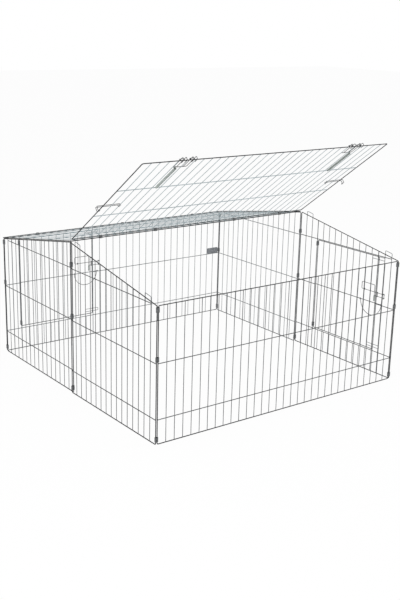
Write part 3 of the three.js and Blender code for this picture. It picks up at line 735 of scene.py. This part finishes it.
# %% [markdown]
# ## Clips
# The panels are held to each other by short sleeves of folded sheet that close round two wires and
# let them turn. A sleeve starts as a block whose upright edges are rounded off. Its ends are taken
# away, a narrow slit is left where the sheet meets itself, and Solidify gives the sheet its
# thickness. It is modelled once for each size and copied.

# %% A folded sleeve
CLIP_SHEET, CLIP_SLIT, CLIP_PLAY = 1.0 * MM, 0.8 * MM, 0.15 * MM
CLIP_ROUNDING = 0.45  # of an upright edge, in widths of the sleeve
ROUND_STEPS = 5
CLIP_BREAK, BREAK_STEPS = 0.25 * MM, 2  # of the cut edges of the sheet
NEARLY = 0.9  # how much of the whole counts as all


def cut_slit(obj, depth):
    for x in (-CLIP_SLIT / 2, CLIP_SLIT / 2):
        bpy.ops.mesh.select_all(action="SELECT")
        bpy.ops.mesh.bisect(plane_co=(x, 0, 0), plane_no=(1, 0, 0))

    def in_slit(face):
        middle = face.calc_center_median()
        return abs(middle.x) < CLIP_SLIT / 2 and middle.y < -NEARLY * depth

    pick(obj, "faces", in_slit)
    bpy.ops.mesh.delete(type="FACE")


def sleeve(step, gauge, height):
    """A sleeve that stands upright, round two wires a step apart along X."""
    width = gauge + 2 * (CLIP_PLAY + CLIP_SHEET)
    bpy.ops.mesh.primitive_cube_add(size=1, scale=(step + width, width, height))
    obj = settle(bpy.context.object)
    bpy.ops.object.mode_set(mode="EDIT")
    pick(obj, "edges", lambda edge: abs(edge.verts[0].co.z - edge.verts[1].co.z) > height / 2)
    bpy.ops.mesh.bevel(offset=CLIP_ROUNDING * width, segments=ROUND_STEPS, affect="EDGES")
    pick(obj, "faces", lambda face: abs(face.normal.z) > NEARLY)
    bpy.ops.mesh.delete(type="FACE")
    cut_slit(obj, width / 2)
    bpy.ops.object.mode_set(mode="OBJECT")
    sheet = obj.modifiers.new("sheet", "SOLIDIFY")
    sheet.thickness, sheet.offset = CLIP_SHEET, -1
    bpy.ops.object.modifier_apply(modifier=sheet.name)
    edges = obj.modifiers.new("edges", "BEVEL")
    edges.width, edges.segments = CLIP_BREAK, BREAK_STEPS
    edges.limit_method, edges.angle_limit = "ANGLE", SMOOTH_BELOW
    bpy.ops.object.modifier_apply(modifier=edges.name)
    obj.data.materials.append(CLIP_ZINC)
    return tidy_mesh(obj)


# %% [markdown]
# The frame tells where each sleeve goes. Its node's box gives the middle, and the way it points
# follows from which side of the box is long.

# %% Sleeves on the hinges
STANDING_CLIP = 18 * MM  # height of a sleeve on an upright hinge


def middle_and_size(node):
    low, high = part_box(node)
    return (low + high) / 2, high - low


def copy_of(obj, name):
    twin = obj.copy()
    twin.data = obj.data.copy()
    twin.name = twin.data.name = name
    bpy.context.scene.collection.objects.link(twin)
    return twin


def place_sleeve(pattern, node, rotation):
    band = copy_of(pattern, f"{node}_sleeve")
    middle, _ = middle_and_size(node)
    settle(band, location=middle, rotation=rotation)
    hand_over(smooth(band), node)


POSTS = [f"{end}_{side}" for end in ("rear", "ridge", "front") for side in SIDES]
LEVELS = ("low", "middle", "high")
HINGES = {
    FRAME_WIRE: [f"hinge_clip_{post}_{level}" for post in POSTS for level in LEVELS],
    CROSS_WIRE: [f"{door}_hinge_{level}" for door in DOORS for level in ("low", "high")],
}
for gauge, nodes in HINGES.items():
    pattern = sleeve(HINGE_STEP, gauge, STANDING_CLIP)
    for node in nodes:
        _, size = middle_and_size(node)
        place_sleeve(pattern, node, (0, 0, QUARTER if size.y > size.x else 0))
    bpy.data.objects.remove(pattern)
    print(len(nodes), "sleeves on wires of", round(gauge / MM, 1), "mm")

# %% [markdown]
# Along the eave and the ridge the wires run across, so the sleeves lie on their side. At the ridge
# the lid's wire is right above the roof's, and at the eave the roof's wire is behind and above.

# %% Sleeves on the eave and the ridge
LYING_CLIP = 12 * MM  # length of a sleeve on a level hinge


def lying_sleeves(name, count, dy, dz):
    """Sleeves along X, round wires of which one is off the other by dy and dz."""
    pattern = sleeve(math.hypot(dy, dz), FRAME_WIRE, LYING_CLIP)
    settle(pattern, rotation=(0, QUARTER, 0))  # lays its length along X
    settle(pattern, rotation=(QUARTER, 0, 0))  # and turns its long side to Y
    for number in range(1, count + 1):
        place_sleeve(pattern, f"{name}_{number}", (math.atan2(dz, dy), 0, 0))
    bpy.data.objects.remove(pattern)


lying_sleeves("eave_clip", 3, OVERHANG, EAVE_WIRE.z - EAVE)
lying_sleeves("ridge_clip", 4, 0, HINGE_STEP)

# %% [markdown]
# ## Lid latches
# Each latch is a rake of four tines that slides over the lid's free edge and hooks under the front
# panel. The two outer tines and the cross bar are one bent wire, and the inner two are welded to
# the bar. Everything on the lid is drawn in the lid's own flat frame and laid back with it.

# %% The latches
TINE_LENGTH, TINE_REACH = 52 * MM, 18 * MM
TINE_DROP, TINE_RETURN = 11 * MM, 18 * MM
LIP = BOLT_LIFT - TINE_DROP


def tine(x):
    root, tip = LID_LENGTH - TINE_LENGTH, LID_LENGTH + TINE_REACH
    path = [(BOLT_LIFT, root), (BOLT_LIFT, tip), (LIP, tip), (LIP, tip - TINE_RETURN)]
    return [(x, y, z) for y, z in path]


def latch(sign):
    first, second, third, last = [latch_x(sign, inwards) for inwards in TINES]
    rake = tine(first)[::-1] + tine(last)
    bent = (rake, tine(second), tine(third))
    return [bent_wire(path, MESH_WIRE, WIRE_BEND, BRIGHT_ZINC) for path in bent]


for side, sign in SIDES.items():
    made = settle(join(f"lid_latch_{side}_tines", latch(sign)), **LID_PLACE)
    hand_over(made, f"lid_latch_{side}")

# %% [markdown]
# ## Latch springs
# A tension spring pulls each latch back. It is wound so closely that it looks like a ribbed rod,
# with an eye at either end. When the latch is drawn out the coil stretches, so it isn't given to
# one body.

# %% The springs
COIL_RADIUS, COIL_WIRE, COIL_TURNS, COIL_STEPS = 3.6 * MM, 2.2 * MM, 52, 12
END_LOOP, END_WIRE = 3.2 * MM, 1.8 * MM
SPRING_INSET = PITCH / 2


def spring(sign):
    """A spring's parts and the ends of its coil, in the lid's flat frame."""
    x = latch_x(sign, SPRING_INSET)
    foot = LID_LENGTH * (ROWS - 1) / ROWS
    head = LID_LENGTH - TINE_LENGTH
    out = BOLT_LIFT - COIL_RADIUS
    start, end = (x, out, foot + END_LOOP), (x, out, head - END_LOOP)
    body = coil(
        start, COIL_RADIUS, COIL_WIRE, COIL_TURNS, end[2] - start[2], SPRING_STEEL, COIL_STEPS
    )
    ends = [
        eye((x, 0, foot), (1, 0, 0), END_LOOP, END_WIRE, SPRING_STEEL),
        eye((x, BOLT_LIFT, head), (1, 0, 0), END_LOOP, END_WIRE, SPRING_STEEL),
    ]
    return [body, *ends], start, end


for side, sign in SIDES.items():
    parts, start, end = spring(sign)
    made = settle(join(f"lid_spring_{side}_coil", parts), **LID_PLACE)
    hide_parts(f"lid_spring_{side}")
    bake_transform(made)
    print(made.name, len(made.data.polygons), "faces")

# %% [markdown]
# ## Side hooks
# Half way up either side of the lid a wire hook turns on an upright. It reaches over the edge, down
# past the gable and back under it. It is one wire, bent double, whose two ends close in eyes.

# %% The side hooks
HOOK_BAYS, HOOK_PLACE, HOOK_HALF = 2, 270 * MM, 5 * MM
HOOK_OUT, HOOK_IN, HOOK_DEPTH, HOOK_BEND = 22 * MM, 8 * MM, 16 * MM, 2 * MM


def side_hook(sign):
    pivot = sign * (FOLD_X - HOOK_BAYS * PITCH)
    end = sign * (FOLD_X + HOOK_OUT)
    lip, back = EYE_OUT - HOOK_DEPTH, end - sign * HOOK_IN
    arm = [(pivot, EYE_OUT), (end, EYE_OUT), (end, lip), (back, lip)]
    path = [(x, y, HOOK_PLACE - HOOK_HALF) for x, y in arm]
    path += [(x, y, HOOK_PLACE + HOOK_HALF) for x, y in arm[::-1]]
    eyes = [
        eye((pivot, 0, HOOK_PLACE + half), (0, 0, 1), EYE_RADIUS, EYE_WIRE, BRIGHT_ZINC)
        for half in (-HOOK_HALF, HOOK_HALF)
    ]
    return [bent_wire(path, MESH_WIRE, HOOK_BEND, BRIGHT_ZINC), *eyes]


for side, sign in SIDES.items():
    made = settle(join(f"side_hook_{side}_wire", side_hook(sign)), **LID_PLACE)
    hand_over(made, f"side_hook_{side}")

# %% [markdown]
# ## Bare plate
# A small plate of sheet metal is fixed to the inside of the back panel. It is a thin block with
# rounded corners and a shallow pressed field, made by an inset that is pushed in.

# %% The plate
PLATE_CORNER, PLATE_RIM = 5 * MM, 3 * MM
FIELD_EDGE, FIELD_DEPTH = 0.6 * MM, 0.3 * MM
low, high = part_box("blank_plate")
bpy.ops.mesh.primitive_cube_add(size=1, location=(low + high) / 2, scale=high - low)
plate = settle(bpy.context.object)
plate.name = plate.data.name = "blank_plate_sheet"
bpy.ops.object.mode_set(mode="EDIT")
thick = high.y - low.y
pick(plate, "edges", lambda edge: abs(edge.verts[0].co.y - edge.verts[1].co.y) > thick / 2)
bpy.ops.mesh.bevel(offset=PLATE_CORNER, segments=ROUND_STEPS, affect="EDGES")
pick(plate, "faces", lambda face: abs(face.normal.y) > NEARLY)
bpy.ops.mesh.inset(thickness=PLATE_RIM, depth=0)
bpy.ops.mesh.inset(thickness=FIELD_EDGE, depth=-FIELD_DEPTH)
bpy.ops.object.mode_set(mode="OBJECT")
plate.data.materials.append(SHEET_ZINC)
hand_over(smooth(plate), "blank_plate")

# %% [markdown]
# ## Floor, light and camera
# The run stands on a plain white floor in front of nothing at all. A white world does for both the
# backdrop and most of the light. For the camera, and for mirrors, the floor is mostly its own
# white, and the rest of it is ordinary paint that takes the shadow of the run.

# %% Floor
FLOOR_SIZE, OWN_WHITE, PAINT_WHITE = 40, 0.92, 0.95
bpy.ops.mesh.primitive_plane_add(size=FLOOR_SIZE)
floor = bpy.context.object
floor.name = "floor"
paint = bpy.data.materials.new("floor_white")
paint.use_nodes = True
tree = paint.node_tree
tree.nodes.clear()
rays = tree.nodes.new("ShaderNodeLightPath")
seen = tree.nodes.new("ShaderNodeMath")
seen.operation = "ADD"
tree.links.new(rays.outputs["Is Camera Ray"], seen.inputs[0])
tree.links.new(rays.outputs["Is Glossy Ray"], seen.inputs[1])
share = tree.nodes.new("ShaderNodeMath")
share.operation, share.use_clamp = "MULTIPLY", True
share.inputs[1].default_value = OWN_WHITE
tree.links.new(seen.outputs["Value"], share.inputs[0])
matt = tree.nodes.new("ShaderNodeBsdfDiffuse")
matt.inputs["Color"].default_value = (PAINT_WHITE, PAINT_WHITE, PAINT_WHITE, 1)
glow = tree.nodes.new("ShaderNodeEmission")
mixed = tree.nodes.new("ShaderNodeMixShader")
tree.links.new(share.outputs["Value"], mixed.inputs["Fac"])
tree.links.new(matt.outputs["BSDF"], mixed.inputs[1])
tree.links.new(glow.outputs["Emission"], mixed.inputs[2])
out = tree.nodes.new("ShaderNodeOutputMaterial")
tree.links.new(mixed.outputs["Shader"], out.inputs["Surface"])
floor.data.materials.append(paint)
print(f"floor {FLOOR_SIZE} m wide")

# %% [markdown]
# What the camera sees of the world is full white, and the light that the world gives is weaker, so
# that the wires stay dark against it. Two large lamps add the soft highlights: the key light from
# the front left, and a weak fill light from the right.

# %% World and lamps
WORLD_LIGHT, BACKDROP = 0.75, 1.0
LAMP_AIM, LAMP_SIZE = Vector((0, 0, 0.3)), 2.5
scene = bpy.context.scene
scene.view_settings.view_transform = "Standard"
world = scene.world or bpy.data.worlds.new("studio")
scene.world = world
world.use_nodes = True
tree = world.node_tree
tree.nodes.clear()
rays = tree.nodes.new("ShaderNodeLightPath")
seen = tree.nodes.new("ShaderNodeMath")
seen.operation = "MAXIMUM"
tree.links.new(rays.outputs["Is Camera Ray"], seen.inputs[0])
tree.links.new(rays.outputs["Is Transmission Ray"], seen.inputs[1])
level = tree.nodes.new("ShaderNodeMapRange")
level.inputs["To Min"].default_value = WORLD_LIGHT
level.inputs["To Max"].default_value = BACKDROP
tree.links.new(seen.outputs["Value"], level.inputs["Value"])
studio = tree.nodes.new("ShaderNodeBackground")
studio.inputs["Color"].default_value = (1, 1, 1, 1)
tree.links.new(level.outputs["Result"], studio.inputs["Strength"])
out = tree.nodes.new("ShaderNodeOutputWorld")
tree.links.new(studio.outputs["Background"], out.inputs["Surface"])


def lamp(name, place, power):
    bpy.ops.object.light_add(type="AREA", location=place)
    light = bpy.context.object
    light.name = name
    light.data.size, light.data.energy = LAMP_SIZE, power
    light.rotation_euler = (LAMP_AIM - Vector(place)).to_track_quat("-Z", "Y").to_euler()
    print(f"{name}: {power} W")


lamp("key_light", (-2.5, -2.5, 3.5), 60)
lamp("fill_light", (3.5, -1.5, 2.5), 20)

# %% [markdown]
# The camera stands low and to the left, a little over four metres away, and leans by about 1.4
# degrees. Its place was worked out once from the corners of the run, so it is written here as
# numbers: the place, the direction it looks back along, its lean and its lens.

# %% Camera
CAMERA_PLACE = Vector((-2.30062, -3.08816, 1.41436))
AZIMUTH, ELEVATION, LEAN = (math.radians(a) for a in (-37.012, 16.381, 1.402))
FILM_HEIGHT, LENS = 36, 57.79  # both in millimetres, as Blender counts them
SHIFT_X, SHIFT_Y = 0.0025, 0.0007  # in picture heights
back_axis = Vector(
    (
        math.sin(AZIMUTH) * math.cos(ELEVATION),
        -math.cos(AZIMUTH) * math.cos(ELEVATION),
        math.sin(ELEVATION),
    )
)
level_axis = Vector((0, 0, 1)).cross(back_axis).normalized()
up_axis = back_axis.cross(level_axis)
right_axis = math.cos(LEAN) * level_axis + math.sin(LEAN) * up_axis
top_axis = math.cos(LEAN) * up_axis - math.sin(LEAN) * level_axis
bpy.ops.object.camera_add()
camera = bpy.context.object
camera.name = "camera"
for row in range(3):
    camera.matrix_world[row][0] = right_axis[row]
    camera.matrix_world[row][1] = top_axis[row]
    camera.matrix_world[row][2] = back_axis[row]
    camera.matrix_world[row][3] = CAMERA_PLACE[row]
camera.data.sensor_fit, camera.data.sensor_height = "VERTICAL", FILM_HEIGHT
camera.data.lens = LENS
camera.data.shift_x, camera.data.shift_y = SHIFT_X, SHIFT_Y
scene.camera = camera
print(f"camera {CAMERA_PLACE.length:.2f} m from the middle of the run")
